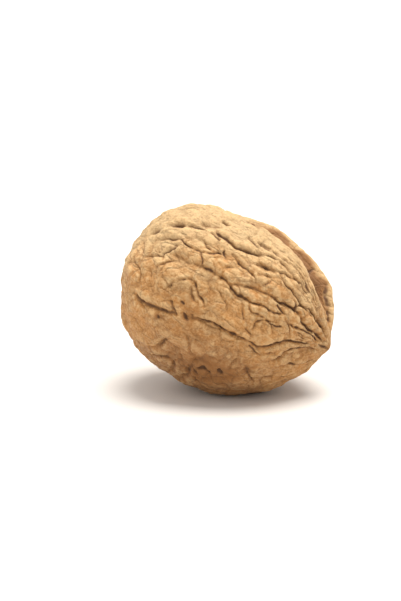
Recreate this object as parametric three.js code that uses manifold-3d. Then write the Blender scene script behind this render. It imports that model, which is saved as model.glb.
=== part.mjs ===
// A whole walnut in its shell, lying on its side on a small flat spot.
// Millimetres, +Z up. The origin is on the surface it rests on, under the middle of its
// bounding box. +X runs along the length of the nut, towards the pointed tip.
import * as THREE from 'three';
import { mergeVertices } from 'three/addons/utils/BufferGeometryUtils.js';
import Module from 'manifold-3d';

// The nut's own axes are x along its length to the tip, y to the upper seam and z to the
// near cheek. A direction on it has a polar angle, 0 at the tip and 180 at the stem end,
// and a turn round the length, 0 on the near cheek and 90 on the upper seam.
const TIP_LENGTH = 19.0;          // from the middle to the tip, without the point
const STEM_LENGTH = 19.7;         // from the middle to the stem end
const CHEEK_RADIUS = 17.0;        // from the middle to either cheek
const UPPER_SEAM_RADIUS = 14.9;   // from the middle to the upper seam, under its rim
const LOWER_SEAM_RADIUS = 18.2;   // from the middle to the lower seam
const FULLNESS = 2.3;             // 2 is a plain ellipsoid, more is fuller
const LOWER_SEAM_TURN = -82;      // degrees

// The point grows out of the rounded body within a few millimetres of the tip.
const POINT_GROWTH = 0.23;        // share of the radius added at the tip
const POINT_SPREAD = 14;          // degrees of polar angle for the growth to fall away
const POINT_ROUNDING = 1.7;       // degrees

// The two halves meet in a seam that stands up as a rim over the tip half.
const SEAM_HEIGHT = 0.35;
const UPPER_RIM_HEIGHT = 1.9;
const UPPER_RIM_SPREAD = 14;      // degrees of turn
const LOWER_RIM_HEIGHT = 0.4;
const LOWER_RIM_SPREAD = 8;       // degrees of turn
const CREST_ROUNDING = 1.5;       // degrees of turn
const VALLEY_DEPTH = 0.9;
const VALLEY_OFFSET = 7.0;        // from the seam plane to the valley beside the upper rim
const VALLEY_WIDTH = 1.6;

// The furrows of the shell, as [polar angle, turn] along each one, in degrees.
const FURROW_DEPTH = 0.55;
const FURROW_WIDTH = 1.3;
const FURROWS = [
  [[127, -36], [100, -30], [76, -24], [49, -29], [31, -18], [14, -14]],
  [[96, 3], [75, -1], [58, 6], [40, 8], [27, 7], [14, 8]],
  [[127, 24], [98, 28], [74, 27], [50, 34], [23, 28]],
  [[119, -70], [97, -46], [73, -58], [34, -51], [18, -58]],
  [[132, 122], [104, 134], [78, 126], [46, 134], [20, 142]],
  [[140, 160], [112, 168], [84, 158], [52, 170], [24, 176]],
  [[130, -164], [100, -172], [70, -160], [40, -166], [18, -150]],
  [[136, -128], [104, -120], [74, -132], [44, -122], [22, -126]],
  [[166, -20], [146, -8], [128, -14]],
  [[166, 140], [150, 132], [136, 140]],
];

const PITCH_DOWN = 23;            // degrees that the tip points below level
const ROLL = 25;                  // degrees that the near cheek is turned up from level
const FLAT_SPOT_DEPTH = 0.8;      // worn off the lowest place, for the spot it rests on

const SEGMENTS_ROUND = 72;
const SEGMENTS_LONG = 44;
const SHELL_COLOUR = 0xc79a68;
const SHELL_ROUGHNESS = 0.7;

const { degToRad, smoothstep } = THREE.MathUtils;

// Unit direction with the given polar angle and turn, in degrees.
function direction(polar, turn) {
  const across = Math.sin(degToRad(polar));
  const round = degToRad(turn);
  return new THREE.Vector3(
    Math.cos(degToRad(polar)), across * Math.sin(round), across * Math.cos(round));
}

function turnsApart(turn, other) {
  return Math.abs(THREE.MathUtils.euclideanModulo(turn - other + 180, 360) - 180);
}

// Radius of the full, smooth body with its point.
function bodyRadius(way, polar) {
  const length = way.x > 0 ? TIP_LENGTH : STEM_LENGTH;
  const seam = way.y > 0 ? UPPER_SEAM_RADIUS : LOWER_SEAM_RADIUS;
  const sum = Math.abs(way.x / length) ** FULLNESS
    + Math.abs(way.y / seam) ** FULLNESS
    + Math.abs(way.z / CHEEK_RADIUS) ** FULLNESS;
  const fromTip = Math.hypot(polar, POINT_ROUNDING);
  return sum ** (-1 / FULLNESS) * (1 + POINT_GROWTH * Math.exp(-fromTip / POINT_SPREAD));
}

// A crest that is sharp at the seam and falls away to both sides.
function crest(apart, spread) {
  return Math.exp(-(Math.hypot(apart, CREST_ROUNDING) - CREST_ROUNDING) / spread);
}

// Height of both seams above the body, with their higher rims over the tip half.
function rimHeight(polar, turn) {
  const seam = SEAM_HEIGHT * smoothstep(polar, 0, 12) * (1 - smoothstep(polar, 168, 180));
  const tipHalf = smoothstep(polar, 4, 35);
  const upper = seam + UPPER_RIM_HEIGHT * tipHalf * (1 - smoothstep(polar, 70, 112));
  const lower = seam + LOWER_RIM_HEIGHT * tipHalf * (1 - smoothstep(polar, 70, 120));
  return upper * crest(turnsApart(turn, 90), UPPER_RIM_SPREAD)
    + lower * crest(turnsApart(turn, LOWER_SEAM_TURN), LOWER_RIM_SPREAD);
}

// Depth of the valley that runs beside the upper rim, on both halves.
function valleyDepth(way, polar, radius) {
  if (way.y < 0) return 0;
  const offset = VALLEY_OFFSET * smoothstep(polar, -10, 45);
  const apart = (Math.abs(way.z) * radius - offset) / VALLEY_WIDTH;
  const fade = smoothstep(polar, 8, 30) * (1 - smoothstep(polar, 80, 105));
  return VALLEY_DEPTH * fade * Math.exp(-(apart ** 2));
}

// The stretches of all furrows, as lines between directions on the unit sphere.
const furrowLines = FURROWS.flatMap((furrow) => {
  const ways = furrow.map(([polar, turn]) => direction(polar, turn));
  return ways.slice(1).map((way, index) => new THREE.Line3(ways[index], way));
});

// Depth of the furrows, deepest on their lines and gone a width or two away.
function furrowDepth(way, radius) {
  const nearest = new THREE.Vector3();
  let apart = Infinity;
  for (const line of furrowLines) {
    line.closestPointToPoint(way, true, nearest);
    apart = Math.min(apart, nearest.distanceTo(way) * radius);
  }
  return FURROW_DEPTH * Math.exp(-((apart / FURROW_WIDTH) ** 2));
}

// Point of the shell's outside in the given direction of the nut's own axes.
function shellPoint(way) {
  const polar = THREE.MathUtils.radToDeg(Math.acos(THREE.MathUtils.clamp(way.x, -1, 1)));
  const turn = THREE.MathUtils.radToDeg(Math.atan2(way.y, way.z));
  const radius = bodyRadius(way, polar);
  const height = rimHeight(polar, turn)
    - valleyDepth(way, polar, radius) - furrowDepth(way, radius);
  return way.clone().multiplyScalar(radius + height);
}

// Turns the nut's own axes into the way it lies, with its tip towards +X.
function restingTurn() {
  const roll = new THREE.Matrix4().makeRotationX(degToRad(90 - ROLL));
  const pitch = new THREE.Matrix4().makeRotationY(degToRad(PITCH_DOWN));
  return pitch.multiply(roll);
}

// The closed shell: a sphere with its poles on the length, pushed out to the surface.
function shellGeometry() {
  const sphere = new THREE.SphereGeometry(1, SEGMENTS_ROUND, SEGMENTS_LONG);
  sphere.rotateZ(-Math.PI / 2);
  sphere.deleteAttribute('normal');
  sphere.deleteAttribute('uv');
  const closed = mergeVertices(sphere);
  const points = closed.getAttribute('position');
  const way = new THREE.Vector3();
  for (let index = 0; index < points.count; index += 1) {
    way.fromBufferAttribute(points, index).normalize();
    points.setXYZ(index, ...shellPoint(way));
  }
  return closed;
}

const wasm = await Module();
wasm.setup();

function toSolid(geometry) {
  return new wasm.Manifold(new wasm.Mesh({
    numProp: 3,
    vertProperties: new Float32Array(geometry.getAttribute('position').array),
    triVerts: new Uint32Array(geometry.index.array),
  }));
}

function toGeometry(solid) {
  const mesh = solid.getMesh();
  const geometry = new THREE.BufferGeometry();
  geometry.setAttribute('position', new THREE.BufferAttribute(mesh.vertProperties, 3));
  geometry.setIndex(new THREE.BufferAttribute(mesh.triVerts, 1));
  return geometry;
}

// Box whose top is at the given height and which reaches well past the nut.
function boxBelow(height) {
  const side = 3 * STEM_LENGTH;
  const box = new THREE.BoxGeometry(side, side, side).translate(0, 0, height - side / 2);
  box.deleteAttribute('normal');
  box.deleteAttribute('uv');
  return mergeVertices(box);
}

// The shell as it lies, with its flat spot on the surface and the origin under it.
function restingWalnut() {
  const shell = shellGeometry();
  shell.applyMatrix4(restingTurn());
  shell.computeBoundingBox();
  const floor = shell.boundingBox.min.z + FLAT_SPOT_DEPTH;
  const geometry = toGeometry(toSolid(shell).subtract(toSolid(boxBelow(floor))));
  geometry.computeBoundingBox();
  const middle = geometry.boundingBox.getCenter(new THREE.Vector3());
  return geometry.translate(-middle.x, -middle.y, -floor);
}

const geometry = restingWalnut();
geometry.computeVertexNormals();
const walnut = new THREE.Mesh(geometry, new THREE.MeshStandardMaterial({
  color: SHELL_COLOUR,
  roughness: SHELL_ROUGHNESS,
  metalness: 0,
}));
walnut.name = 'walnut';

const part = new THREE.Group();
part.add(walnut);

export default part;
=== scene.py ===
"""A whole walnut in its shell, lying on its side on a pale floor in soft studio light."""
import itertools
import math
from typing import NamedTuple

import bpy
import numpy as np
from bpy.props import FloatProperty, FloatVectorProperty, IntProperty, PointerProperty
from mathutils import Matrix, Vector


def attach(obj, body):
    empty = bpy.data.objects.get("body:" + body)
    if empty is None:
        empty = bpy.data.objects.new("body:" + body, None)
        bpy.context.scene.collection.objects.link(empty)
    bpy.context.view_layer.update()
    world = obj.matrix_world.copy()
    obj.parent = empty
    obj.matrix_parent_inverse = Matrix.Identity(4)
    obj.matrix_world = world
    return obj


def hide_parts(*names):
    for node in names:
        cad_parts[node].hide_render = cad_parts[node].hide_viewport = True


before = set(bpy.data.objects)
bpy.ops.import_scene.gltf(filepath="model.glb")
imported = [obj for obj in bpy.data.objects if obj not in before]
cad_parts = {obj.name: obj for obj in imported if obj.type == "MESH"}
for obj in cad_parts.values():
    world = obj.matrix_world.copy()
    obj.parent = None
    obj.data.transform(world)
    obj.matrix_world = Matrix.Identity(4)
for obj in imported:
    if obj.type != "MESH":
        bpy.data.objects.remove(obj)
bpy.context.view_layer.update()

bl_info = {
    "name": "Walnut in its shell",
    "version": (1, 0, 0),
    "blender": (4, 5, 0),
    "location": "View3D > Sidebar > Walnut",
    "description": "Builds a whole walnut with its furrowed shell, and a pale stage for it",
    "category": "Add Mesh",
}

MM = 0.001

# The grid that carries the shell: rings from the tip to the stem end, and steps round it.
RINGS = 248
STEPS = 396

# How far the steps crowd together on the near cheek, where the finest relief is: 0 is even.
CROWDING = 0.35

# Where the nut's middle lies, in metres: the point that its angles are measured about.
MIDDLE = (-0.00055, 0.00036, 0.01847)

# A place on the nut is a polar angle, 0 at the tip and 180 at the stem end, and a turn
# round the length, 0 on the near cheek and 90 on the upper seam. Both are in degrees.
UPPER_SEAM = 90
LOWER_SEAM = -82

# Slightly warm whites, in linear light.
SKY_COLOUR = (1.0, 0.975, 0.945)
LAMP_COLOUR = (1.0, 0.965, 0.92)


class Groove(NamedTuple):
    """A furrow, crack or pit: its half width and depth in millimetres, how far the side
    nearer the upper seam stands above the other, how much painted shade it has, and its route."""
    width: float
    depth: float
    step: float
    painted_shade: float
    route: tuple


# The long furrow low on the near cheek, with its side branches and the hollow it crosses.
LOW_FURROW = (
    Groove(0.75, 0.80, 0.35, 0.65, (
        (131, -37), (126, -37), (119, -36), (112, -34), (105, -32), (99, -31))),
    Groove(0.50, 0.50, 0.0, 0.6, ((106, -25), (103, -28), (100, -31))),
    Groove(1.30, 0.45, 0.0, 0.25, ((97, -29), (92, -29), (86, -28))),
    Groove(0.35, 0.45, 0.0, 0.7, ((96, -28), (94, -30), (91, -31))),
    Groove(0.35, 0.45, 0.0, 0.6, ((91, -27), (89, -28), (86, -27))),
    Groove(0.45, 0.65, 0.35, 0.8, (
        (88, -28), (84, -27), (79, -25), (74, -25), (67, -26), (61, -27), (54, -28), (48, -30),
        (44, -28), (41, -26), (37, -23), (33, -20), (29, -19), (24, -19), (18, -19), (11, -18))),
    Groove(0.90, 0.35, 0.0, 0.3, ((82, -28), (77, -28), (72, -27))),
    Groove(0.28, 0.30, 0.0, 0.6, ((62, -19), (58, -21), (55, -23), (54, -27))),
    Groove(0.35, 0.35, 0.0, 0.8, ((53, -31), (50, -33), (46, -36))),
    Groove(0.28, 0.18, 0.0, 0.4, ((46, -35), (41, -34), (36, -32))),
)

# The furrow along the middle of the near cheek, which forks round smooth lens shapes.
MIDDLE_FURROW = (
    Groove(1.50, 0.55, 0.3, 0.25, ((122, 2), (114, 2), (106, 2), (99, 3), (93, 3))),
    Groove(0.50, 0.55, 0.2, 0.8, ((99, 3), (96, 3), (92, 3), (88, 3))),
    Groove(0.50, 0.60, 0.2, 0.8, ((90, 2), (86, 2), (82, 2), (78, 1))),
    Groove(0.80, 0.50, 0.3, 0.4, (
        (78, 1), (73, 3), (69, 4), (64, 6), (58, 7), (52, 8), (47, 7))),
    Groove(0.42, 0.75, 0.3, 0.95, (
        (50, 7), (47, 7), (45, 8), (42, 9), (39, 10), (36, 10), (33, 10), (29, 9))),
    Groove(0.45, 0.70, 0.2, 0.85, ((31, 9), (28, 6), (24, 5), (20, 4), (15, 6), (10, 9), (6, 10))),
    Groove(0.90, 0.35, 0.0, 0.15, ((38, 10), (30, 8), (22, 5), (14, 6), (8, 9))),
    Groove(0.30, 0.40, 0.1, 0.6, ((38, 12), (36, 16), (33, 19), (29, 22))),
    Groove(0.50, 0.85, 0.3, 0.95, ((79, 1), (75, -1), (71, -3), (67, -3), (62, -4))),
    Groove(0.30, 0.38, 0.1, 0.7, (
        (64, -4), (60, -3), (56, -2), (52, -2), (48, -2), (44, -1), (41, 1))),
    Groove(0.28, 0.30, 0.0, 0.6, ((47, 4), (45, 3), (42, 1))),
    Groove(0.28, 0.30, 0.0, 0.6, ((40, 15), (38, 13), (37, 10))),
)

# The furrows, pits and hollows high on the near cheek, and the fine lines of its shoulder.
HIGH_FURROWS = (
    Groove(0.60, 0.75, 0.3, 0.9, ((104, 30), (100, 28), (95, 27), (89, 26))),
    Groove(0.60, 0.75, 0.3, 0.7, ((92, 26), (86, 25), (80, 26), (74, 27), (70, 29))),
    Groove(0.32, 0.40, 0.1, 0.6, (
        (73, 27), (70, 30), (66, 32), (61, 33), (56, 33), (50, 32), (44, 32), (36, 30))),
    Groove(0.50, 0.45, 0.0, 0.4, ((105, 27), (102, 26), (98, 24))),
    Groove(1.00, 1.10, 0.0, 0.7, ((132, 22), (126, 24), (120, 26))),
    Groove(1.10, 0.50, 0.0, 0.4, ((144, 13), (140, 15), (135, 18))),
    Groove(0.80, 0.70, 0.0, 0.5, ((119, 27), (115, 27), (111, 28))),
    Groove(1.80, 0.55, 0.0, 0.25, ((117, 30), (109, 33), (101, 36))),
    Groove(0.60, 0.55, 0.0, 0.3, ((104, 41), (101, 40), (99, 40))),
    Groove(0.65, 1.05, 0.0, 0.8, ((70, 21), (65, 22), (59, 24))),
    Groove(0.40, 0.45, 0.1, 0.6, ((85, 38), (81, 36), (77, 34), (71, 33))),
    Groove(1.00, 0.45, 0.0, 0.3, ((76, 38), (72, 38), (69, 38))),
    Groove(0.50, 0.85, 0.1, 0.95, (
        (30, 22), (26, 24), (22, 25), (18, 27), (14, 31), (10, 35), (6, 36))),
    Groove(0.90, 0.35, 0.0, 0.15, ((30, 22), (22, 25), (14, 31), (8, 36))),
    Groove(0.32, 0.40, 0.1, 0.7, (
        (67, 38), (61, 38), (55, 38), (49, 40), (43, 40), (34, 38), (24, 34), (14, 31))),
    Groove(0.32, 0.40, 0.1, 0.7, ((59, 24), (55, 26), (50, 29), (45, 32), (39, 34), (30, 32))),
    Groove(0.28, 0.32, 0.0, 0.5, ((60, 43), (52, 44), (44, 44), (36, 42), (27, 38), (17, 34))),
    Groove(0.28, 0.32, 0.0, 0.5, ((53, 48), (45, 48), (37, 46), (28, 42), (19, 37))),
    Groove(0.28, 0.28, 0.0, 0.5, ((48, 36), (42, 37), (35, 36), (27, 32), (20, 30))),
    Groove(0.28, 0.25, 0.0, 0.5, ((42, 27), (37, 29), (31, 28), (26, 27))),
    Groove(0.90, 0.50, 0.0, 0.3, ((120, 58), (113, 62), (105, 66), (100, 74))),
)

# The pockets in the face of the upper rim, the bar-like plate on it and its cracks.
RIM_POCKETS = (
    Groove(1.00, 0.50, 0.0, 0.5, ((92, 57), (87, 60), (83, 62))),
    Groove(0.70, 0.35, 0.0, 0.3, ((80, 61), (79, 66), (80, 71))),
    Groove(0.90, 0.35, 0.0, 0.3, ((75, 62), (71, 63), (67, 62))),
    Groove(0.60, 0.35, 0.0, 0.5, ((63, 60), (59, 61), (55, 61))),
    Groove(0.75, 0.80, 0.0, 0.8, (
        (44, 70), (40, 74), (37, 76), (33, 77), (28, 77), (22, 76), (16, 74), (10, 72))),
    Groove(0.45, 0.60, 0.0, 0.9, ((38, 76), (40, 80), (41, 84))),
    Groove(0.38, 0.70, 0.0, 1.0, ((38, 84), (33, 85), (28, 85), (23, 84), (15, 84), (9, 82))),
    Groove(0.35, 0.40, 0.0, 0.6, ((36, 61), (30, 62), (23, 62), (14, 60))),
    Groove(0.35, 0.25, 0.0, 0.4, ((60, 70), (52, 72), (44, 74))),
    Groove(0.35, 0.20, 0.0, 0.3, ((95, 70), (86, 76), (76, 78), (66, 79))),
)

# The thin cracks that part the near cheek into plates.
CHEEK_CRACKS = (
    Groove(0.32, 0.35, 0.15, 0.75, (
        (137, 5), (130, 11), (123, 13), (118, 13), (113, 11), (108, 11), (102, 11), (97, 13),
        (94, 15), (91, 16))),
    Groove(0.28, 0.30, 0.0, 0.6, ((92, 19), (91, 16), (88, 14))),
    Groove(0.32, 0.35, 0.1, 0.7, ((117, 12), (120, 7), (123, 3), (125, -1), (123, -5))),
    Groove(0.28, 0.25, 0.0, 0.6, ((114, -1), (118, -3), (121, -7), (124, -11), (124, -15))),
    Groove(0.28, 0.30, 0.0, 0.5, ((109, 20), (105, 18), (101, 15), (97, 14))),
    Groove(0.28, 0.28, 0.0, 0.6, ((103, 10), (100, 6), (99, 3))),
    Groove(0.32, 0.40, 0.15, 0.7, (
        (112, -20), (110, -15), (107, -11), (103, -8), (99, -8), (96, -10), (92, -14), (88, -16),
        (85, -19))),
    Groove(0.50, 0.35, 0.0, 0.4, ((99, -9), (97, -14), (94, -18), (90, -19))),
    Groove(0.28, 0.25, 0.0, 0.5, ((141, -8), (137, -8), (132, -6), (128, -3), (124, -2))),
    Groove(0.28, 0.25, 0.0, 0.5, ((128, -14), (126, -18), (124, -22), (121, -25))),
    Groove(0.32, 0.32, 0.1, 0.6, ((57, 25), (53, 23), (49, 21), (44, 22), (39, 20), (30, 19), (20, 19))),
    Groove(0.32, 0.35, 0.1, 0.7, ((86, 19), (81, 17), (76, 15), (71, 14), (67, 12), (65, 9))),
    Groove(0.28, 0.22, 0.0, 0.5, ((68, 13), (64, 16), (60, 18), (57, 21))),
    Groove(0.28, 0.22, 0.0, 0.5, ((61, 8), (59, 12), (58, 17))),
    Groove(0.28, 0.28, 0.0, 0.6, ((65, -9), (63, -12), (61, -16), (61, -19))),
    Groove(0.30, 0.35, 0.1, 0.7, (
        (62, -4), (61, -7), (58, -9), (55, -9), (51, -9), (48, -9), (43, -8))),
    Groove(0.28, 0.28, 0.0, 0.6, (
        (55, -21), (54, -17), (54, -14), (51, -11), (47, -10), (45, -13), (43, -17))),
    Groove(0.28, 0.25, 0.0, 0.5, ((46, -11), (43, -11), (40, -9))),
    Groove(0.28, 0.25, 0.0, 0.5, ((42, 0), (38, -3), (35, -6), (33, -10), (31, -15))),
    Groove(0.34, 0.45, 0.1, 0.8, ((35, -4), (31, -4), (27, -3), (21, -1), (14, -2), (9, -4))),
    Groove(0.28, 0.28, 0.0, 0.5, ((30, -8), (24, -8), (17, -8), (11, -9))),
    Groove(0.28, 0.25, 0.0, 0.5, ((28, -11), (21, -12), (14, -13))),
    Groove(0.28, 0.25, 0.0, 0.5, ((26, -15), (20, -15), (13, -16))),
    Groove(0.30, 0.30, 0.0, 0.8, ((9, -12), (5, -16), (2, -22))),
    Groove(0.28, 0.20, 0.0, 0.4, ((84, -5), (79, -8), (74, -12), (70, -17))),
    Groove(0.28, 0.20, 0.0, 0.4, ((86, 9), (82, 11), (78, 14))),
    Groove(0.28, 0.20, 0.0, 0.4, ((150, 8), (145, 2), (141, -6), (140, -14))),
    Groove(0.28, 0.20, 0.0, 0.4, ((147, -20), (141, -18), (134, -21), (130, -28))),
)

# The creases and dark pits under the near cheek, down to the lower seam.
UNDER_CREASES = (
    Groove(0.50, 0.60, 0.3, 0.75, (
        (40, -42), (36, -41), (33, -39), (31, -34), (28, -30), (24, -28), (19, -28), (13, -28),
        (8, -29))),
    Groove(1.50, 0.35, 0.0, 0.3, ((35, -43), (30, -37), (22, -35), (14, -34))),
    Groove(0.45, 0.50, 0.2, 0.7, ((34, -53), (30, -51), (26, -50), (22, -53), (18, -57), (12, -61))),
    Groove(0.40, 0.30, 0.0, 0.5, ((41, -62), (36, -64), (31, -68), (24, -71))),
    Groove(0.60, 1.30, 0.0, 1.0, ((79, -61), (78, -63), (76, -64))),
    Groove(0.60, 1.20, 0.0, 1.0, ((76, -58), (74, -57), (73, -57))),
    Groove(0.50, 0.90, 0.0, 1.0, ((71, -58), (70, -59))),
    Groove(0.60, 0.90, 0.0, 1.0, ((65, -54), (63, -57))),
    Groove(0.30, 0.40, 0.0, 0.8, ((71, -66), (70, -67))),
    Groove(0.35, 0.45, 0.0, 0.9, ((109, -38), (108, -38))),
    Groove(0.35, 0.30, 0.0, 0.7, ((100, -22), (98, -23))),
    Groove(0.32, 0.25, 0.0, 0.6, ((73, -40), (71, -40))),
    Groove(0.50, 0.75, 0.1, 0.9, ((123, -62), (119, -67), (116, -71))),
    Groove(0.42, 0.55, 0.3, 0.7, ((105, -60), (102, -55), (100, -50), (97, -46))),
    Groove(0.50, 0.60, 0.15, 0.65, (
        (107, -73), (103, -68), (99, -64), (94, -62), (91, -67), (92, -76), (95, -83))),
    Groove(0.45, 0.25, 0.0, 0.4, ((91, -51), (88, -56), (85, -62))),
    Groove(0.75, 0.60, 0.2, 0.6, ((79, -57), (81, -63), (82, -70), (85, -78), (90, -83))),
    Groove(1.30, 0.40, 0.0, 0.4, ((80, -54), (77, -51), (73, -52), (69, -54))),
    Groove(1.40, 0.35, 0.0, 0.3, ((70, -62), (64, -62), (58, -60))),
    Groove(0.35, 0.25, 0.0, 0.5, ((75, -46), (72, -47), (68, -46), (64, -47))),
    Groove(0.90, 0.25, 0.0, 0.3, ((51, -47), (50, -50), (49, -54))),
    Groove(0.32, 0.35, 0.1, 0.6, ((51, -47), (49, -54), (47, -61), (45, -69))),
    Groove(0.28, 0.22, 0.0, 0.4, ((58, -36), (57, -42), (60, -48), (59, -53))),
    Groove(0.28, 0.22, 0.0, 0.4, ((90, -38), (86, -42), (84, -48), (79, -51))),
    Groove(1.60, 0.30, 0.0, 0.15, ((88, -36), (82, -38), (76, -37))),
)

# The furrows of the far half and of the stem end.
FAR_FURROWS = (
    Groove(0.60, 0.80, 0.3, 0.9, ((134, 150), (122, 153), (110, 149), (99, 152), (92, 150))),
    Groove(0.50, 0.65, 0.3, 0.8, (
        (90, 151), (80, 153), (70, 150), (60, 154), (48, 156), (36, 154), (24, 150), (12, 148))),
    Groove(0.55, 0.75, 0.2, 0.8, ((128, 178), (115, 182), (102, 178), (94, 176))),
    Groove(0.45, 0.60, 0.3, 0.7, (
        (94, 177), (84, 180), (72, 176), (62, 180), (50, 178), (38, 182), (26, 180), (12, 180))),
    Groove(0.55, 0.75, 0.2, 0.8, ((122, 126), (108, 124), (96, 128), (84, 125))),
    Groove(0.40, 0.50, 0.1, 0.6, (
        (86, 125), (74, 130), (62, 128), (50, 132), (38, 130), (24, 132), (12, 136))),
    Groove(0.55, 0.70, 0.3, 0.8, ((130, -152), (116, -156), (102, -152), (88, -155))),
    Groove(0.40, 0.55, 0.2, 0.7, (
        (84, -153), (70, -156), (56, -152), (44, -155), (30, -152), (14, -154))),
    Groove(0.45, 0.50, 0.2, 0.6, (
        (120, -122), (106, -126), (93, -121), (80, -124), (66, -120), (52, -124), (38, -122),
        (22, -126))),
    Groove(0.60, 0.70, 0.0, 0.7, ((144, 112), (132, 108), (120, 112))),
    Groove(0.50, 0.45, 0.0, 0.6, ((158, -150), (146, -142), (134, -146))),
    Groove(0.50, 0.45, 0.0, 0.6, ((162, 160), (150, 168), (138, 164))),
    Groove(0.50, 0.45, 0.0, 0.6, ((163, 44), (153, 38), (143, 42))),
    Groove(0.50, 0.40, 0.0, 0.5, ((165, -40), (156, -36), (147, -39))),
    Groove(0.50, 0.45, 0.0, 0.6, ((162, -100), (149, -104), (135, -100), (122, -104))),
)

# Broad swells, and dips below nought, that make the nut uneven: the polar angle and turn of
# each, and its reach and height in millimetres.
SWELLS = (
    (62, 90, 6.0, -0.8),
    (42, 90, 4.0, -0.4),
    (150, -85, 6.0, -0.8),
    (22, -80, 4.0, 0.7),
    (12, -80, 2.5, 0.5),
    (128, 58, 4.0, 0.4),
    (104, 64, 2.5, -0.3),
)

# Brown blotches: the polar angle and turn of each, its reach in millimetres and strength.
BLOTCHES = (
    (76, -60, 4.6, 1.0),
    (62, -57, 3.4, 0.7),
    (92, -29, 2.2, 0.6),
    (96, -60, 2.2, 0.45),
    (50, -50, 1.6, 0.7),
    (114, -72, 3.0, 0.25),
    (86, 59, 2.4, 0.6),
    (108, -38, 0.9, 0.9),
    (126, 23, 1.6, 0.4),
    (96, -16, 1.8, 0.4),
    (118, 152, 3.0, 0.6),
    (70, -150, 4.0, 0.7),
    (146, -140, 4.0, 0.6),
    (60, 178, 2.6, 0.5),
    (172, 90, 4.0, 0.7),
)

GROOVES = (LOW_FURROW + MIDDLE_FURROW + HIGH_FURROWS + RIM_POCKETS + CHEEK_CRACKS + UNDER_CREASES
           + FAR_FURROWS)


# ---- Settings ----

def length(name, description, millimetres):
    """A length property, shown in the scene's units."""
    return FloatProperty(
        name=name, description=description, default=millimetres * MM, min=0.0,
        subtype="DISTANCE", unit="LENGTH")


def angle(name, description, degrees):
    """An angle property, shown in degrees."""
    return FloatProperty(
        name=name, description=description, default=math.radians(degrees),
        subtype="ANGLE", unit="ROTATION")


def colour(name, description, red, green, blue):
    """A colour property in linear light."""
    return FloatVectorProperty(
        name=name, description=description, default=(red, green, blue), size=3,
        min=0.0, max=1.0, subtype="COLOR")


class WalnutShellSettings(bpy.types.PropertyGroup):
    """Sizes and colours of the shell."""
    tip_length: length("Tip length", "From the middle to the tip, without the point", 19.4)
    stem_length: length("Stem length", "From the middle to the stem end", 19.7)
    cheek_radius: length("Cheek radius", "From the middle to either cheek", 17.0)
    upper_radius: length("Upper radius", "From the middle to the upper seam, under its rim", 14.9)
    lower_radius: length("Lower radius", "From the middle to the lower seam", 18.2)
    rim_height: length("Rim height", "Height of the upper rim over the tip half", 1.9)
    valley_depth: length("Valley depth", "Depth of the valley beside the upper rim", 1.8)
    pitch: angle("Pitch", "How far the tip points below level", 23)
    roll: angle("Roll", "How far the near cheek is turned up from level", 25)
    seed: IntProperty(name="Seed", description="Which nut of many it is", default=7, min=0)
    # Pale of the rubbed ridges and flecks, with painted highlight on the ridges.
    pale_and_highlight_colour: colour("Ridges", "Colour of the ridges, rubbed pale", 0.60, 0.395, 0.19)
    plate_colour: colour("Plates", "Colour of the smooth plates", 0.44, 0.205, 0.058)
    dust_colour: colour("Dust", "Colour of the dry film that dulls the shell", 0.41, 0.24, 0.098)
    # Painted light: a paler colour for the upper half, where the light falls strongest.
    lit_upper_colour: colour("Bleached", "Colour of the upper half, dried pale", 0.53, 0.385, 0.205)
    # Red stain on the lower half, darkened further as painted shade where the floor shades it.
    stained_and_shaded_colour: colour("Stained", "Colour of the lower half, stained red", 0.26, 0.11, 0.036)
    # Brown of the valleys beside the rim, darkened further as painted shade.
    valley_brown_and_shade_colour: colour("Sheltered", "Colour of the valleys beside the rim", 0.25, 0.105, 0.027)
    amber_colour: colour("Amber", "Colour of the glossy amber patches", 0.47, 0.195, 0.04)
    # Painted shade: the colour at the bottom of the furrows, cracks, creases and pits.
    furrow_shade_colour: colour("Furrows", "Colour at the bottom of the furrows", 0.12, 0.055, 0.022)


class WalnutStageSettings(bpy.types.PropertyGroup):
    """Floor and camera."""
    camera_turn: angle("Camera turn", "Turn of the camera round the nut from the front", 17.5)
    camera_height: angle("Camera height", "Height of the camera above the horizon", 12)
    camera_distance: length("Camera distance", "From the camera to the middle of the nut", 280)
    lens: FloatProperty(
        name="Lens", description="Focal length in millimetres", default=86.4, min=1.0)
    floor_colour: colour("Floor", "Colour of the floor", 0.70, 0.68, 0.66)


# ---- Noise ----

def ease(low, high, value):
    """Rises smoothly from 0 at low to 1 at high: 3t^2 - 2t^3, with t held to 0..1."""
    t = np.clip((value - low) / (high - low), 0.0, 1.0)
    return t * t * (3.0 - 2.0 * t)


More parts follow.
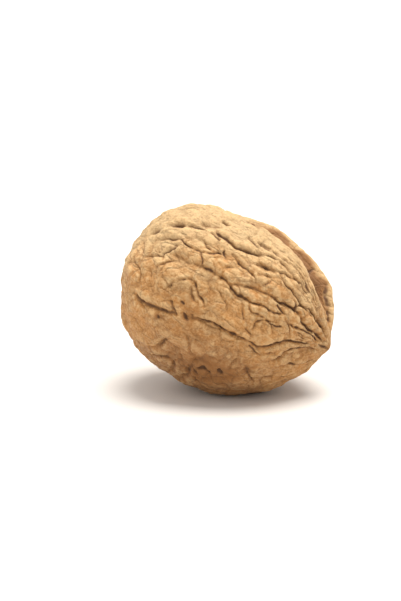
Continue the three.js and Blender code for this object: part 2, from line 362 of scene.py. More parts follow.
class LatticeNoise:
    """Seeded smooth noise in space. Each corner of a cubic lattice has a random arrow, and
    the value is the blend of each corner's arrow dotted with the way from that corner."""

    SIDE = 32

    def __init__(self, seed):
        arrows = np.random.default_rng(seed).normal(size=(self.SIDE,) * 3 + (3,))
        self.arrows = arrows / np.linalg.norm(arrows, axis=-1, keepdims=True)

    def __call__(self, points, size):
        """About -1..1, with lumps of the given size."""
        scaled = points / size
        cell = np.floor(scaled).astype(int)
        local = scaled - cell
        blend = local ** 3 * (local * (local * 6.0 - 15.0) + 10.0)
        total = np.zeros(points.shape[:-1])
        for corner in itertools.product((0, 1), repeat=3):
            place = (cell + corner) % self.SIDE
            arrow = self.arrows[place[..., 0], place[..., 1], place[..., 2]]
            weight = np.prod(np.where(corner, blend, 1.0 - blend), axis=-1)
            total += weight * (arrow * (local - corner)).sum(axis=-1)
        return total * 1.6

    def layered(self, points, size, layers):
        """The sum of layers, each half as large and half as strong as the one before."""
        shift = np.array((7.3, 3.1, 5.7))
        return sum(self(points + shift * layer, size / 2 ** layer) / 2 ** layer
                   for layer in range(layers))

    def vectors(self, points, size):
        """Three separate noises as the parts of a vector."""
        shifts = np.array(((0, 0, 0), (31.7, 11.3, 5.9), (17.9, 41.1, 23.3)))
        return np.stack([self(points + shift, size) for shift in shifts], axis=-1)


# ---- Form of the nut ----

def directions(polar, turn):
    """Unit directions from angles in degrees: along the length, to the upper seam, to the
    near cheek. They are (cos p, sin p sin t, sin p cos t)."""
    p, t = np.radians(polar), np.radians(turn)
    return np.stack([np.cos(p), np.sin(p) * np.sin(t), np.sin(p) * np.cos(t)], axis=-1)


def turns_apart(turn, other):
    """Degrees between two turns, the short way round."""
    return np.abs((turn - other + 180.0) % 360.0 - 180.0)


def body_radius(polar, turn, settings):
    """Radius in millimetres of the smooth body: a superellipsoid whose half lengths differ
    by side, |x/a|^n + |y/b|^n + |z/c|^n = 1, times a growth that falls away from the tip."""
    fullness, point_growth, point_spread, point_rounding = 2.3, 0.23, 14.0, 1.7
    way = directions(polar, turn)
    length_mm = np.where(way[..., 0] > 0, settings.tip_length, settings.stem_length) / MM
    seam_mm = np.where(way[..., 1] > 0, settings.upper_radius, settings.lower_radius) / MM
    total = (np.abs(way[..., 0] / length_mm) ** fullness
             + np.abs(way[..., 1] / seam_mm) ** fullness
             + np.abs(way[..., 2] * MM / settings.cheek_radius) ** fullness)
    growth = point_growth * np.exp(-np.hypot(polar, point_rounding) / point_spread)
    return total ** (-1.0 / fullness) * (1.0 + growth)


def seam_height(polar, turn):
    """Height in millimetres of both seams and the lower rim: a low seam all round and a low
    rim over the tip half, each times a crest exp(-distance) with a slightly rounded top."""
    def crest(apart, spread):
        rounding = 1.5
        return np.exp(-(np.hypot(apart, rounding) - rounding) / spread)

    seam = 0.35 * ease(0, 12, polar) * ease(180, 168, polar)
    lower = seam + 0.4 * ease(4, 35, polar) * (1.0 - ease(70, 120, polar))
    return (seam * crest(turns_apart(turn, UPPER_SEAM), 6.0)
            + lower * crest(turns_apart(turn, LOWER_SEAM), 8.0))


def upper_rim(polar, turn, radius, noise, settings):
    """Height in millimetres of the upper rim and its valleys, and how brown they are, 0 to
    1, which is partly real brown and partly painted shade. The rim is a blade along the seam
    with a blunt top and steep sides, 1 / (1 + off^4), where off is the distance from the
    seam plane. A valley lies along each side of it, exp(-off^2) from its own bed. All of them
    draw in towards the tip. The brown and painted shade start at the foot of the blade and
    fade across the bed, with scalloped edges, and are stronger on the near side."""
    blade_half_width, valley_off, valley_half_width, scallop_size = 1.5, 4.0, 2.4, 2.0
    way = directions(polar, turn)
    off = np.abs(way[..., 2]) * radius
    upper_half = way[..., 1] > 0
    drawn = 0.3 + 0.7 * ease(0, 45, polar)
    tip_half = ease(3, 32, polar) * (1.0 - ease(72, 112, polar))
    blade = tip_half / (1.0 + (off / (blade_half_width * drawn)) ** 4)
    reach = ease(6, 30, polar) * (1.0 - ease(70, 108, polar))
    valley = np.exp(-((off / drawn - valley_off) / valley_half_width) ** 2) * reach
    height = settings.rim_height / MM * blade - settings.valley_depth / MM * valley
    scallops = 0.9 * noise(way * radius[:, None] * (0.7, 1.0, 1.0), scallop_size)
    facing = 0.7 + 0.3 * np.sign(way[..., 2])
    ragged = off / drawn + scallops
    foot = 0.8 * ease(0.2, 1.6, ragged) + 0.4 * ease(1.2, 2.2, ragged)
    brown = facing * reach * foot * ease(6.5, 2.5, off / drawn + 0.5 * scallops)
    return height * upper_half, brown * upper_half


def swell_height(points, settings):
    """Height in millimetres of the broad swells: the sum of height * exp(-(d / reach)^2)."""
    total = np.zeros(len(points))
    for polar, turn, reach, height in SWELLS:
        centre = directions(polar, turn) * body_radius(np.array(polar), np.array(turn), settings)
        total += height * np.exp(-((points - centre) ** 2).sum(axis=-1) / reach ** 2)
    return total


def blotch_brown(points, noise, settings):
    """How brown the blotches make the shell, 0 to 1: the sum of strength * exp(-(d / reach)^2)
    over ragged distances."""
    ragged = points + 0.9 * noise.vectors(points, 1.8)
    total = np.zeros(len(points))
    for polar, turn, reach, strength in BLOTCHES:
        centre = directions(polar, turn) * body_radius(np.array(polar), np.array(turn), settings)
        total += strength * np.exp(-((ragged - centre) ** 2).sum(axis=-1) / reach ** 2)
    return total


def smooth_route(route, pieces=5):
    """Places along a curve through a route's places: Catmull-Rom, where each span is the
    cubic that meets its ends with half the step between their neighbours as slope."""
    points = np.array(route, dtype=float)
    points = np.vstack([2 * points[0] - points[1], points, 2 * points[-1] - points[-2]])
    before, start = points[:-3, None], points[1:-2, None]
    end, after = points[2:-1, None], points[3:, None]
    t = np.linspace(0.0, 1.0, pieces, endpoint=False)[None, :, None]
    curve = 0.5 * (2 * start + (end - before) * t
                   + (2 * before - 5 * start + 4 * end - after) * t ** 2
                   + (3 * start - before - 3 * end + after) * t ** 3)
    return np.vstack([curve.reshape(-1, 2), points[-2]])


def beside(points, line):
    """How each point lies beside a line of points: its distance to the nearest stretch, the
    signed distance, positive on the upper seam's side, and how far along it is, 0 to 1."""
    starts, spans = line[:-1], np.diff(line, axis=0)
    lengths = (spans ** 2).sum(axis=-1)
    offsets = points[:, None, :] - starts[None]
    along = np.clip((offsets * spans).sum(axis=-1) / lengths, 0.0, 1.0)
    gaps = offsets - along[..., None] * spans
    distances = np.sqrt((gaps ** 2).sum(axis=-1))
    nearest = distances.argmin(axis=1)
    rows = np.arange(len(points))
    uphill = np.cross(starts + spans / 2, spans)
    uphill /= np.linalg.norm(uphill, axis=-1, keepdims=True)
    signed = (gaps[rows, nearest] * uphill[nearest]).sum(axis=-1)
    return distances[rows, nearest], signed, (nearest + along[rows, nearest]) / len(spans)


def carve(points, noise, settings):
    """Height in millimetres to take away, and painted shade, 0 to 1, of all grooves at the
    points: the colour is darkened where shade falls in the bed and slit. Across a groove the
    depth is a soft bed exp(-d^2) and a narrow slit in it, with a low lip on each side and a
    step from one side to the other. It tapers towards its ends, but a short groove is a pit,
    which keeps its depth and has more painted shade. The shell also sinks a little beside
    each groove, as exp(-distance), and deep places level off, as tanh."""
    reach, deepest, narrowest_slit = 4.0, 1.6, 0.15
    pit_run, groove_run = 2.0, 4.0
    sink, sink_spread = 0.20, 0.45
    depth = np.zeros(len(points))
    painted_shade = np.zeros(len(points))
    nearest = np.full(len(points), reach)
    wander = 0.26 * noise.vectors(points, 2.6) + 0.16 * noise.vectors(points, 0.9)
    wandered = points + wander
    breaks = 0.85 + 0.35 * noise(points, 1.7)
    for groove in GROOVES:
        route = smooth_route(groove.route)
        line = directions(route[:, 0], route[:, 1])
        line *= body_radius(route[:, 0], route[:, 1], settings)[:, None]
        low, high = line.min(axis=0) - reach, line.max(axis=0) + reach
        inside = np.all((points > low) & (points < high), axis=1)
        distance, signed, along = beside(wandered[inside], line)
        nearest[inside] = np.minimum(nearest[inside], distance)
        run = np.linalg.norm(np.diff(line, axis=0), axis=-1).sum()
        pit = ease(groove_run, pit_run, run)
        end = min(0.4, 1.6 / run)
        ends = ease(0.0, end, along) * ease(1.0, 1.0 - end, along)
        taper = np.maximum(0.3 + 0.7 * ends, pit)
        across = distance / (groove.width * (0.6 + 0.4 * ends))
        bed = np.exp(-across ** 2)
        slit = np.exp(-(distance / max(0.42 * groove.width, narrowest_slit)) ** 2)
        lip = np.exp(-((across - 1.8) / 0.7) ** 2)
        strength = taper * breaks[inside]
        step = 0.5 * groove.step * np.tanh(signed / groove.width) * np.exp(-distance / 2.2)
        fall = groove.depth * strength * (0.45 * bed + 0.65 * slit - 0.16 * lip) - step * ends
        depth[inside] += fall
        shade = groove.painted_shade * strength * ((0.25 + 0.45 * pit) * bed + 0.85 * slit)
        painted_shade[inside] = np.maximum(painted_shade[inside], shade)
    beside_grooves = sink * np.exp(-nearest / sink_spread)
    return deepest * np.tanh(depth / deepest) + beside_grooves, np.clip(painted_shade, 0.0, 1.0)


def cell_edges(polar, turn, points, noise, seed, around, along):
    """Distance in millimetres to the nearest edge between cells, and a random level of the
    cell. Cells are the places nearest to jittered points on a grid of turn and polar angle
    that closes round the nut; the edge is where the two nearest points are equally far."""
    mean_radius = 17.0
    rng = np.random.default_rng(seed)
    jitter = rng.random((along + 4, around, 2)) * 0.85
    level = rng.random((along + 4, around))
    warp = noise.vectors(points, 90.0 / along * 0.5)
    column = (turn % 360.0) / 360.0 * around + 0.40 * warp[:, 0]
    row = polar / 180.0 * along + 0.36 * warp[:, 1] + 1.5
    base_column, base_row = np.floor(column).astype(int), np.floor(row).astype(int)
    best = np.full(len(points), 9.0)
    second = np.full(len(points), 9.0)
    own = np.zeros(len(points))
    for shift_row, shift_column in itertools.product((-1, 0, 1), repeat=2):
        at_row = np.clip(base_row + shift_row, 0, along + 3)
        at_column = (base_column + shift_column) % around
        spot = jitter[at_row, at_column]
        off_row = base_row + shift_row + spot[:, 0] - row
        off_column = base_column + shift_column + spot[:, 1] - column
        distance = np.hypot(off_row, off_column)
        nearer = distance < best
        second = np.where(nearer, best, np.minimum(second, distance))
        own = np.where(nearer, level[at_row, at_column], own)
        best = np.where(nearer, distance, best)
    cell_width = 2.0 * np.pi * mean_radius * np.sin(np.radians(polar)) / around
    return (second - best) * np.clip(cell_width, 0.6, 5.0) * 0.6, own


def wrinkles(polar, turn, noise):
    """Fine ridges in millimetres that run along the length and close on the tip: noise on
    a cylinder round the length, drawn out along it. They are strongest near the tip, beside
    the upper rim, and on the shoulder between the rim and the near cheek."""
    t = np.radians(turn)
    round_mm = 9.0
    place = np.stack([round_mm * np.cos(t), round_mm * np.sin(t), polar / 16.0], axis=-1)
    fine = noise(place, 1.15) + 0.5 * noise(place + 40.0, 0.6)
    near_tip = ease(4, 14, polar) * (1.0 - ease(34, 62, polar))
    near_rim = np.exp(-(turns_apart(turn, UPPER_SEAM) / 30.0) ** 2)
    near_rim *= ease(8, 25, polar) * (1.0 - ease(70, 100, polar))
    shoulder = np.exp(-(turns_apart(turn, 34) / 16.0) ** 2)
    shoulder *= ease(10, 22, polar) * (1.0 - ease(60, 78, polar))
    return fine * (0.13 * near_tip + 0.10 * near_rim + 0.12 * shoulder)


def stem_scar(polar, turn):
    """Depth in millimetres and painted shade of the scar at the stem end: a shallow oval dish,
    longer along the seam, with a slit on the seam inside it, both darkened as painted shade."""
    stem_radius = 19.0
    off = np.radians(180.0 - polar) * stem_radius
    along_seam = off * np.sin(np.radians(turn))
    across_seam = off * np.cos(np.radians(turn))
    dish = np.exp(-((along_seam / 3.4) ** 2 + (across_seam / 1.9) ** 2) ** 1.5)
    slit = np.exp(-(across_seam / 0.45) ** 2) * np.exp(-(along_seam / 4.6) ** 4)
    return 0.9 * dish + 0.6 * slit, np.clip(0.55 * dish + 0.7 * slit, 0.0, 1.0)


def blurred(grid, passes):
    """The grid averaged with its neighbours a number of times, round the nut and along it."""
    for _ in range(passes):
        along = np.vstack([grid[:1], grid, grid[-1:]])
        grid = 0.5 * grid + 0.25 * (along[:-2] + along[2:])
        grid = 0.5 * grid + 0.25 * (np.roll(grid, 1, axis=1) + np.roll(grid, -1, axis=1))
    return grid


def plate_relief(polar, turn, points, noise, near_side, near_rim, settings):
    """Height in millimetres of domed plates of two sizes, and how deep in the cracks between
    the large and between the small plates each point is, 0 to 1."""
    ends = ease(6, 16, polar) * ease(176, 164, polar)
    calm = 1.0 - 0.75 * near_rim
    edge, level = cell_edges(polar, turn, points, noise, settings.seed + 1, 22, 11)
    strength = (0.55 - 0.17 * near_side) * ends * (1.0 - 0.6 * near_rim)
    patchy = np.clip(0.6 + 0.9 * noise(points + 20.0, 7.0), 0.0, 1.0)
    plates = strength * (0.30 * (1.0 - np.exp(-edge / 0.8)) + 0.16 * (level - 0.5))
    crack = strength * patchy * np.exp(-(edge / 0.20) ** 2)

    small_edge, small_level = cell_edges(polar, turn, points, noise, settings.seed + 2, 44, 24)
    shoulder = np.exp(-(turns_apart(turn, 46) / 24.0) ** 4) * ease(92, 70, polar)
    flaky = np.clip(0.35 + 1.1 * noise(points + 60.0, 5.0), 0.0, 1.0)
    flaky *= ends * calm * (1.0 - 0.8 * shoulder)
    plates += flaky * (0.10 * (1.0 - np.exp(-small_edge / 0.4)) + 0.07 * (small_level - 0.5))
    small_crack = 0.6 * flaky * np.exp(-(small_edge / 0.15) ** 2)
    return plates, crack, small_crack


def crease_lines(polar, points, noise, near_side, near_rim):
    """How deep in the fine creases away from the tip, and in the long creases away from the
    near cheek, each point is, 0 to 1. A crease is where a smooth noise crosses nought:
    exp(-(noise / width)^2)."""
    calm = 1.0 - 0.75 * near_rim
    broken = np.clip(0.5 + noise(points + 170.0, 6.0), 0.0, 1.0)
    winding = noise(points * (0.55, 1.0, 1.0) + 130.0, 2.4)
    fine = calm * ease(50, 70, polar) * broken * np.exp(-(winding / 0.07) ** 2)

    ends = ease(6, 16, polar) * ease(176, 164, polar)
    lengthwise = np.sin(np.radians(polar)) ** 2
    broken = np.clip(0.75 + 1.1 * noise(points + 170.0, 5.0), 0.0, 1.0)
    winding = noise(points * (0.38, 1.0, 1.0) + 300.0, 3.6)
    long = (1.0 - near_side) * lengthwise * ends * calm * broken * np.exp(-(winding / 0.085) ** 2)
    return fine, long


def shell_relief(polar, turn, settings):
    """The radius in millimetres over the grid of angles, the painted shade of its grooves,
    cracks, creases, scar and rim valleys, its relief on the body and its seams, and how brown
    it is: brown blotches, and the brown and painted shade of the valleys by the rim. The
    relief is soft lumps, long ridges, domed plates, fine wrinkles, the upper rim and the broad
    swells, less the valleys, the grooves, the cracks between plates, the creases and the scar
    of the stem."""
    noise = LatticeNoise(settings.seed)
    shape = polar.shape
    p, t = polar.ravel(), turn.ravel()
    radius = body_radius(p, t, settings) + seam_height(p, t)
    points = directions(p, t) * radius[:, None]
    near_rim = np.exp(-(turns_apart(t, UPPER_SEAM) / 38.0) ** 4) * (1.0 - ease(85, 110, p))
    near_side = np.exp(-(turns_apart(t, -5) / 62.0) ** 4)
    top = np.exp(-(turns_apart(t, 62) / 34.0) ** 4) * ease(55, 80, p)

    stretched = points * (0.55, 1.0, 1.0)
    lumps = (1.0 - 0.75 * near_rim) * (
        0.40 * noise(stretched, 6.0) + 0.32 * noise(stretched + 50.0, 2.6))
    long_ridges = 0.30 * top * noise(points * (0.30, 1.0, 1.0) + 210.0, 2.2)
    fine = 0.11 * noise.layered(points + 90.0, 1.3, 2)
    plates, crack, small_crack = plate_relief(p, t, points, noise, near_side, near_rim, settings)
    creases, long_creases = crease_lines(p, points, noise, near_side, near_rim)
    groove_depth, groove_shade = carve(points, noise, settings)
    scar_depth, scar_shade = stem_scar(p, t)
    rim, valley_brown_and_shade = upper_rim(p, t, radius, noise, settings)

    relief = (lumps * ease(4, 25, p) + long_ridges + fine + plates + wrinkles(p, t, noise)
              + rim - groove_depth - 0.30 * crack - 0.14 * small_crack - scar_depth
              - 0.12 * creases - 0.55 * long_creases + swell_height(points, settings))
    # Painted shade: the colour darkened in the grooves, cracks, creases, stem scar and rim valleys, where
    # shade falls.
    painted_shade = np.maximum.reduce([
        groove_shade, 0.75 * crack, 0.5 * small_crack, scar_shade, 0.30 * valley_brown_and_shade,
        0.4 * creases, 0.6 * long_creases])
    # How brown the shell is: real blotches, plus the brown and painted shade of the rim valleys.
    brown = np.clip(valley_brown_and_shade + blotch_brown(points, noise, settings), 0.0, 1.0)
    return tuple(grid.reshape(shape) for grid in (radius + relief, painted_shade, relief, brown))


def resting_points(points, settings):
    """Turns points on the nut's own axes into the way it lies, in metres, and sets its middle
    where it belongs, with the flat spot rubbed smooth on the floor. The wear is the smooth
    greater of the height and nought: (z + sqrt(z^2 + k^2)) / 2."""
    roll, pitch = settings.roll, settings.pitch
    rolled = np.stack([
        points[..., 0],
        points[..., 1] * math.sin(roll) - points[..., 2] * math.cos(roll),
        points[..., 1] * math.cos(roll) + points[..., 2] * math.sin(roll)], axis=-1)
    laid = np.stack([
        rolled[..., 0] * math.cos(pitch) + rolled[..., 2] * math.sin(pitch),
        rolled[..., 1],
        rolled[..., 2] * math.cos(pitch) - rolled[..., 0] * math.sin(pitch)], axis=-1) * MM
    laid += MIDDLE
    softness = 0.25 * MM
    height = laid[..., 2]
    laid[..., 2] = 0.5 * (height + np.sqrt(height ** 2 + softness ** 2))
    laid[..., 2] -= laid[..., 2].min()
    return laid


def grid_mesh(name, points):
    """A closed mesh from a grid of points whose first and last rings are poles. Each pole
    is one point with a fan of triangles, and the rest is quads that close round the grid.
    The corners of every face run so that it looks outwards."""
    rings, steps = points.shape[:2]
    vertices = np.vstack([points[0, :1], points[1:-1].reshape(-1, 3), points[-1, :1]])
    ring = 1 + np.arange(rings - 2)[:, None] * steps + np.arange(steps)[None]
    beyond = np.roll(ring, -1, axis=1)
    quads = np.stack([ring[:-1], beyond[:-1], beyond[1:], ring[1:]], axis=-1).reshape(-1, 4)
    last = len(vertices) - 1
    tip_fan = np.stack([np.zeros(steps, int), beyond[0], ring[0]], axis=-1)
    stem_fan = np.stack([np.full(steps, last), ring[-1], beyond[-1]], axis=-1)
    mesh = bpy.data.meshes.new(name)
    faces = tip_fan.tolist() + quads.tolist() + stem_fan.tolist()
    mesh.from_pydata(vertices.tolist(), [], faces)
    mesh.shade_smooth()
    return mesh


def on_points(grid):
    """Values of a grid in the order of grid_mesh's points."""
    inner = grid[1:-1].reshape((-1,) + grid.shape[2:])
    return np.concatenate([grid[0, :1], inner, grid[-1, :1]])


def add_attribute(mesh, name, kind, grid):
    """Stores a grid of values on the mesh's points under a name."""
    attribute = mesh.attributes.new(name, kind, "POINT")
    key = "value" if kind == "FLOAT" else "vector"
    attribute.data.foreach_set(key, on_points(grid).astype(np.float32).ravel())


# ---- Materials ----

class Value:
    """An output socket. Arithmetic on it adds Math nodes to its tree."""

    def __init__(self, tree, socket):
        self.tree, self.socket = tree, socket

    def _math(self, operation, first, second):
        outputs = self.tree.add("ShaderNodeMath", {"operation": operation}, {0: first, 1: second})
        return outputs["Value"]

    def __add__(self, other):
        return self._math("ADD", self, other)

    def __sub__(self, other):
        return self._math("SUBTRACT", self, other)

    def __rsub__(self, other):
        return self._math("SUBTRACT", other, self)

    def __mul__(self, other):
        return self._math("MULTIPLY", self, other)

    __radd__ = __add__
    __rmul__ = __mul__


class Tree:
    """The node tree of a new material, with its shader and output in place."""

    def __init__(self, name):
        self.material = bpy.data.materials.new(name)
        self.material.use_nodes = True
        self.nodes = self.material.node_tree.nodes
        self.shader = self.nodes["Principled BSDF"]

    def add(self, kind, settings=None, inputs=None):
        """Adds a node, sets its settings and then its sockets, and returns its outputs by
        name. An input is given by its name, identifier or number."""
        node = self.nodes.new(kind)
        for key, value in (settings or {}).items():
            setattr(node, key, value)
        for key, value in (inputs or {}).items():
            self.feed(self._socket(node, key), value)
        return {socket.name: Value(self, socket) for socket in node.outputs if socket.enabled}

    def feed(self, socket, value):
        """Links a wrapped output to a socket, or sets the socket's own value."""
        if isinstance(value, Value):
            self.material.node_tree.links.new(value.socket, socket)
        else:
            socket.default_value = value

    @staticmethod
    def _socket(node, key):
        if isinstance(key, int):
            return node.inputs[key]
        by_identifier = {socket.identifier: socket for socket in node.inputs}
        return by_identifier.get(key) or node.inputs[key]

    def attribute(self, name, output="Fac"):
        """A value stored on the mesh's points."""
        return self.add("ShaderNodeAttribute", {"attribute_name": name})[output]

    def noise(self, where, scale, detail=2.0, roughness=0.5):
        """Smooth noise from 0 to 1."""
        return self.add("ShaderNodeTexNoise", None, {
            "Vector": where, "Scale": scale, "Detail": detail, "Roughness": roughness})["Fac"]

    def edge_distance(self, where, scale, wander):
        """Distance from the nearest edge of warped cells, in the cells' own scale."""
        offset = self.add("ShaderNodeTexNoise", None, {
            "Vector": where, "Scale": 1.3 * scale, "Detail": 2.0})
        shift = self.add("ShaderNodeVectorMath", {"operation": "MULTIPLY_ADD"}, {
            0: offset["Color"], 1: (wander,) * 3, 2: where})["Vector"]
        return self.add("ShaderNodeTexVoronoi", {"feature": "DISTANCE_TO_EDGE"}, {
            "Vector": shift, "Scale": scale})["Distance"]

    def between(self, value, low, high):
        """0 below low, 1 above high and smooth between them."""
        return self.add("ShaderNodeMapRange", {"interpolation_type": "SMOOTHSTEP"}, {
            "Value": value, "From Min": low, "From Max": high})["Result"]

    def mix(self, amount, first, second):
        """The first colour where the amount is 0 and the second where it is 1."""
        return self.add("ShaderNodeMix", {"data_type": "RGBA"}, {
            "Factor_Float": amount, "A_Color": first, "B_Color": second})["Result"]


def rgba(shade):
    """A colour property as the four numbers that a socket takes."""
    return (*shade, 1.0)


def shell_material(settings):
    """Dry walnut shell: pale rubbed ridges with painted highlight, tan plates with a dull dusty
    film in patches, painted light on the upper half and red stain with painted shade on the
    lower one, brown valleys with painted shade, painted shade in the hollows and furrows, and
    fine fibres along the length."""
    bump_distance, matt_roughness, low_gloss = 0.35 * MM, 0.62, 0.35
    tree = Tree("walnut_shell")
    where = tree.add("ShaderNodeTexCoord")["Object"]
    grain = tree.attribute("grain", "Vector")
    painted_shade = tree.attribute("painted_shade")
    facing_up = tree.attribute("facing_up")
    hollow = tree.attribute("hollow")

    blotches = tree.noise(where, 170.0, 3.0)
    mottle = tree.noise(where, 620.0, 3.0, 0.6)
    speckle = tree.noise(where, 2600.0, 2.0, 0.6)
    fibres = tree.noise(grain, 26.0, 3.0, 0.65)
    place = tree.attribute("place", "Vector")
    patches = tree.between(tree.noise(place, 0.22), 0.40, 0.62)
    large_edge = tree.edge_distance(place, 0.30, 2.2)
    small_edge = tree.edge_distance(place, 0.55, 1.3)
    hairlines = (patches * tree.between(large_edge, 0.06, 0.0)
                 + 0.7 * (1.0 - patches) * tree.between(small_edge, 0.07, 0.0))
    hairlines = hairlines * (1.0 - 0.5 * tree.between(facing_up, 0.30, 0.60))
    domes = (patches * tree.between(large_edge, 0.0, 0.22)
             + 0.6 * (1.0 - patches) * tree.between(small_edge, 0.0, 0.25))

    dusty = tree.between(blotches + 0.35 * mottle, 0.60, 0.90)
    base = tree.mix(0.8 * dusty, rgba(settings.plate_colour), rgba(settings.dust_colour))
    amber = tree.between(tree.noise(place, 0.55, 2.0), 0.52, 0.70)
    base = tree.mix(0.45 * amber, base, rgba(settings.amber_colour))
    # Painted light: paler towards the upper seam and the stem end, where the light falls.
    lit_upper = tree.between(facing_up + 0.7 * (blotches - 0.5) + 0.5 * (mottle - 0.5), 0.0, 0.70)
    base = tree.mix(0.8 * lit_upper, base, rgba(settings.lit_upper_colour))
    # Real red stain with painted shade: darker towards the lower half and the tip end.
    stained_and_shaded = tree.between(0.6 * (blotches - 0.5) + 0.5 * (mottle - 0.5) - facing_up, 0.25, 0.95)
    base = tree.mix(0.9 * stained_and_shaded, base, rgba(settings.stained_and_shaded_colour))
    # Real pale wear on the ridges and lips, with painted highlight, stronger on the upper side where the
    # light falls.
    raised = tree.between(0.5 - hollow + 0.30 * (mottle - 0.5), 0.45, 0.85)
    wear_and_highlight = 0.45 + 0.45 * tree.between(facing_up, -0.5, 0.1)
    base = tree.mix(wear_and_highlight * raised, base, rgba(settings.pale_and_highlight_colour))
    fleck = tree.between(speckle + 0.5 * fibres, 0.60, 0.95)
    base = tree.mix(0.30 * fleck, base, rgba(settings.pale_and_highlight_colour))
    # Painted shade: a deeper plate tone in the hollows, where shade falls; the same tone serves the real
    # stains below.
    stain_and_shade_tone = tuple(0.55 * part for part in settings.plate_colour)
    hollow_shade = tree.between(hollow + 0.30 * (mottle - 0.5), 0.03, 0.60)
    base = tree.mix(0.6 * hollow_shade, base, rgba(stain_and_shade_tone))
    stain = tree.between(speckle + 0.6 * mottle, 0.86, 0.62)
    base = tree.mix(0.36 * stain, base, rgba(stain_and_shade_tone))
    # The valleys beside the rim: real brown and painted shade where the shoulder shades them, with the
    # brown blotches.
    brown = tree.between(tree.attribute("brown_and_valley_shade") + 0.7 * (mottle - 0.5), 0.12, 0.85)
    base = tree.mix(0.9 * brown, base, rgba(settings.valley_brown_and_shade_colour))
    # Painted shade: thin dark lines along the fine cracks between plates, too fine for the mesh to shade.
    base = tree.mix(0.30 * hairlines, base, rgba(settings.furrow_shade_colour))
    # Painted shade: grooves, cracks, creases, scar and valleys darkened towards the furrow colour where
    # shade falls.
    base = tree.mix(tree.between(painted_shade, 0.12, 0.62), base, rgba(settings.furrow_shade_colour))

    relief = 0.55 * fibres + 0.33 * speckle + 0.50 * mottle - 0.3 * hairlines + 0.55 * domes
    bump = tree.add("ShaderNodeBump", None, {
        "Strength": 1.0, "Distance": bump_distance, "Height": relief})
    tree.feed(tree.shader.inputs["Base Color"], base)
    tree.feed(tree.shader.inputs["Roughness"], matt_roughness + 0.2 * mottle)
    tree.feed(tree.shader.inputs["Normal"], bump["Normal"])
    tree.shader.inputs["Specular IOR Level"].default_value = low_gloss
    return tree.material


def plain_material(name, shade, roughness):
    """A plain matt finish."""
    tree = Tree(name)
    tree.shader.inputs["Base Color"].default_value = rgba(shade)
    tree.shader.inputs["Roughness"].default_value = roughness
    return tree.material


# ---- Operators ----

def add_object(name, data):
    """Links a new object that sits unturned at the origin."""
    made = bpy.data.objects.new(name, data)
    bpy.context.scene.collection.objects.link(made)
    return made


class WALNUT_OT_shell(bpy.types.Operator):
    """Make the whole shell of the walnut with its relief and finish"""
    bl_idname = "walnut.shell"
    bl_label = "Walnut shell"

    def execute(self, context):
        settings = context.scene.walnut_shell
        even = np.arange(STEPS) * 2.0 * np.pi / STEPS
        crowded = np.degrees(even - CROWDING * np.sin(even))
        polar, turn = np.meshgrid(np.linspace(0.0, 180.0, RINGS + 1), crowded, indexing="ij")
        radius, painted_shade, relief, brown_and_valley_shade = shell_relief(polar, turn, settings)
        for pole in (0, -1):
            radius[pole] = radius[pole].mean()
        way = directions(polar, turn)
        mesh = grid_mesh("walnut_shell", resting_points(way * radius[..., None], settings))

        fine, middling, broad = blurred(relief, 1), blurred(relief, 3), blurred(relief, 14)
        hollow = broad - fine + 0.7 * (middling - relief)
        around = np.radians(turn)
        fibre_stretch = 0.22
        along = fibre_stretch * np.radians(polar)
        grain = np.stack([np.cos(around), np.sin(around), along], axis=-1)
        # Painted shade of the grooves, cracks, creases, scar and rim valleys.
        add_attribute(mesh, "painted_shade", "FLOAT", painted_shade)
        add_attribute(mesh, "hollow", "FLOAT", np.clip(2.0 * hollow, -0.5, 0.5))
        # How brown each point is: real blotches, and the brown and painted shade of the rim valleys.
        add_attribute(mesh, "brown_and_valley_shade", "FLOAT", brown_and_valley_shade)
        # How far each point faces up, towards the upper seam and the stem end; it sets the painted light
        # above and the painted shade below.
        add_attribute(mesh, "facing_up", "FLOAT", way[..., 1] + 0.6 * np.clip(-way[..., 0], 0.0, 1.0))
        add_attribute(mesh, "grain", "FLOAT_VECTOR", grain)
        add_attribute(mesh, "place", "FLOAT_VECTOR", way * radius[..., None] * (0.6, 1.0, 1.0))
        mesh.materials.append(shell_material(settings))
        shell = add_object("shell_of_walnut", mesh)
        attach(shell, "root")
        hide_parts("walnut")
        return {"FINISHED"}


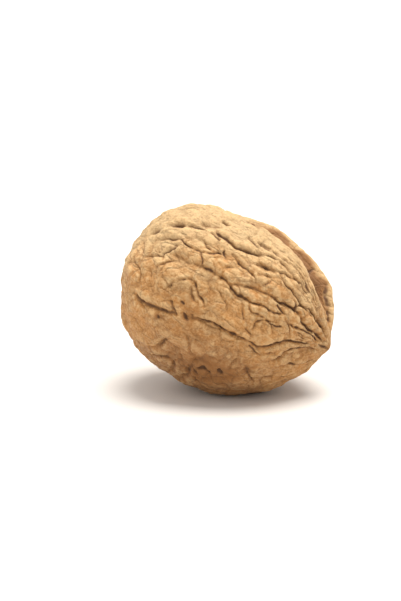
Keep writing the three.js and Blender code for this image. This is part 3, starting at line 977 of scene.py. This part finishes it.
class WALNUT_OT_stage(bpy.types.Operator):
    """Set out the floor, the soft light and the camera"""
    bl_idname = "walnut.stage"
    bl_label = "Stage"

    def execute(self, context):
        settings = context.scene.walnut_stage
        half_width = 60.0
        sky_strength = 0.64
        mesh = bpy.data.meshes.new("floor")
        corners = [(x * half_width, y * half_width, 0.0) for x, y in ((-1, -1), (1, -1), (1, 1), (-1, 1))]
        mesh.from_pydata(corners, [], [(0, 1, 2, 3)])
        mesh.materials.append(plain_material("floor", settings.floor_colour, 0.6))
        add_object("floor", mesh)

        world = bpy.data.worlds.new("studio")
        world.use_nodes = True
        backdrop = world.node_tree.nodes["Background"]
        backdrop.inputs["Color"].default_value = rgba(SKY_COLOUR)
        backdrop.inputs["Strength"].default_value = sky_strength
        context.scene.world = world
        self.add_light("softbox", (0.12, 0.12, 1.0), 42.0, 4.3)
        self.add_light("left_screen", (-1.0, -0.25, 0.5), 110.0, 1.15)
        self.add_light("right_screen", (1.0, 0.3, 0.5), 100.0, 0.5)
        self.add_camera(settings)
        context.scene.view_settings.view_transform = "Standard"
        return {"FINISHED"}

    @staticmethod
    def add_light(name, way, spread, power):
        """A broad light that falls evenly from a direction, with its spread in degrees."""
        light = bpy.data.lights.new(name, "SUN")
        light.angle = math.radians(spread)
        light.color = LAMP_COLOUR
        light.energy = power
        made = add_object(name, light)
        made.location = Vector(way)
        made.rotation_euler = Vector(way).to_track_quat("Z", "Y").to_euler()

    @staticmethod
    def add_camera(settings):
        """A camera at the given turn, height and distance from the nut's middle, aimed a
        little to the side and below it, which sets the nut in the frame."""
        middle = Vector(MIDDLE)
        aim_left, aim_below = 4.3 * MM, 1.3 * MM
        turn, height = settings.camera_turn, settings.camera_height
        back = Vector((
            math.sin(turn) * math.cos(height), -math.cos(turn) * math.cos(height), math.sin(height)))
        right = Vector((math.cos(turn), math.sin(turn), 0.0))
        up = back.cross(right)
        data = bpy.data.cameras.new("camera")
        data.lens = settings.lens
        camera = add_object("camera", data)
        camera.location = middle + back * settings.camera_distance
        aim = middle - right * aim_left - up * aim_below
        camera.rotation_euler = (aim - camera.location).to_track_quat("-Z", "Y").to_euler()
        bpy.context.scene.camera = camera


class WALNUT_PT_panel(bpy.types.Panel):
    """Lists the pieces and their settings"""
    bl_idname = "WALNUT_PT_panel"
    bl_label = "Walnut"
    bl_space_type = "VIEW_3D"
    bl_region_type = "UI"
    bl_category = "Walnut"

    def draw(self, context):
        for operator, settings in (
                (WALNUT_OT_shell, context.scene.walnut_shell),
                (WALNUT_OT_stage, context.scene.walnut_stage)):
            box = self.layout.box()
            for key in settings.__annotations__:
                box.prop(settings, key)
            box.operator(operator.bl_idname)


CLASSES = (WalnutShellSettings, WalnutStageSettings, WALNUT_OT_shell, WALNUT_OT_stage, WALNUT_PT_panel)


def register():
    for kind in CLASSES:
        bpy.utils.register_class(kind)
    bpy.types.Scene.walnut_shell = PointerProperty(type=WalnutShellSettings)
    bpy.types.Scene.walnut_stage = PointerProperty(type=WalnutStageSettings)


def unregister():
    del bpy.types.Scene.walnut_stage
    del bpy.types.Scene.walnut_shell
    for kind in reversed(CLASSES):
        bpy.utils.unregister_class(kind)


def main():
    register()
    bpy.ops.walnut.stage()
    bpy.ops.walnut.shell()


if __name__ == "__main__":
    main()
